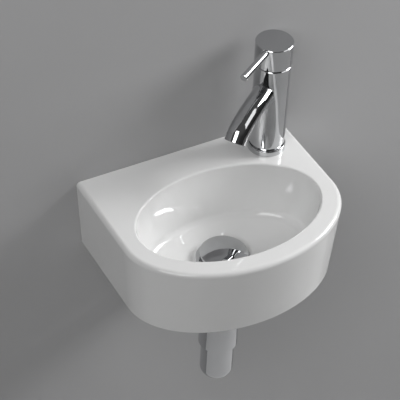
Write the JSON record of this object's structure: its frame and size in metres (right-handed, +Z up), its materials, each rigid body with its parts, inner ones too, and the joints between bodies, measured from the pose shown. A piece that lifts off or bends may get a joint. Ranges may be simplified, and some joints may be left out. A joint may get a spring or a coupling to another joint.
{
  "type": "wall-hung washbasin with tap",
  "caption": "Small D-shaped ceramic washbasin with an oval bowl, a single-lever mixer tap at the side, a press-down plug and a bottle trap",
  "frame": {"origin": "on the basin's flat back face, midway between the two wall-fixing bolts", "axes": "+Z up, +Y into the wall, +X to the right of someone facing the wall"},
  "size_m": [0.2792, 0.2716, 0.4362],
  "materials": {
    "glaze": "glossy white glaze",
    "chrome": "mirror polished plating",
    "zinc_steel": "zinc plated",
    "spring_steel": "drawn wire",
    "brass": "machined",
    "black_rubber": "matte",
    "white_plastic": "moulded",
    "grey_plastic": "moulded",
    "disc_ceramic": "lapped"
  },
  "bodies": {
    "fixed": {"basin": "glaze", "hanger_bolts": "zinc_steel", "bolt_sleeves": "white_plastic", "bolt_washers": "zinc_steel", "bolt_nuts": "zinc_steel", "waste_body": "chrome", "waste_washer": "black_rubber", "waste_back_nut": "chrome", "click_cartridge": "brass", "plug_spring": "spring_steel", "trap_coupling_nut": "chrome", "inlet_gasket": "black_rubber", "trap_inlet_tube": "chrome", "trap_top_nut": "chrome", "trap_top_seal": "black_rubber", "trap_body": "chrome", "cup_seal": "black_rubber", "trap_cup": "chrome", "outlet_seal": "black_rubber", "outlet_nut": "chrome", "outlet_pipe": "chrome", "wall_rosette": "chrome", "base_ring": "chrome", "base_oring": "black_rubber", "tap_body": "chrome", "aerator_housing": "chrome", "aerator_insert": "grey_plastic", "aerator_washer": "black_rubber", "cartridge_housing": "grey_plastic", "fixed_disc": "disc_ceramic", "retaining_nut": "brass", "deck_gasket": "black_rubber", "clamp_plate": "zinc_steel", "tap_stud": "brass", "clamp_nut": "brass"},
    "carrier": {"cartridge_rotor": "grey_plastic", "stem_pin": "spring_steel"},
    "sliding_disc": {"moving_disc": "disc_ceramic"},
    "handle": {"lever_cap": "chrome", "lever_rod": "chrome", "cartridge_stem": "brass", "grub_screw": "spring_steel", "index_plug": "grey_plastic"},
    "plug": {"plug_dome": "chrome", "plug_seal": "black_rubber", "plug_stem": "brass"}
  },
  "joints": [
    {"name": "handle_turn", "type": "hinge", "parent": "fixed", "child": "carrier", "pos_m": [0.0984, -0.0356, 0.183], "axis": [0, 0, 1], "range_deg": [-45, 45]},
    {"name": "lever_lift", "type": "hinge", "parent": "carrier", "child": "handle", "pos_m": [0.0984, -0.0356, 0.183], "axis": [-0.5373, 0.8434, 0], "range_deg": [0, 20]},
    {"name": "disc_slide", "type": "slide", "parent": "carrier", "child": "sliding_disc", "axis": [-0.8434, -0.5373, 0], "range_m": [0, 0.00259]},
    {"name": "plug_press", "type": "slide", "parent": "fixed", "child": "plug", "axis": [0, 0, -1], "range_m": [0, 0.0065], "stiffness_N_per_m": 300, "springref_m": -0.01, "deforming": ["plug_spring"]}
  ],
  "couplings": [
    {"joint": "disc_slide", "follows": "lever_lift", "m_per_rad": 0.0074}
  ]
}
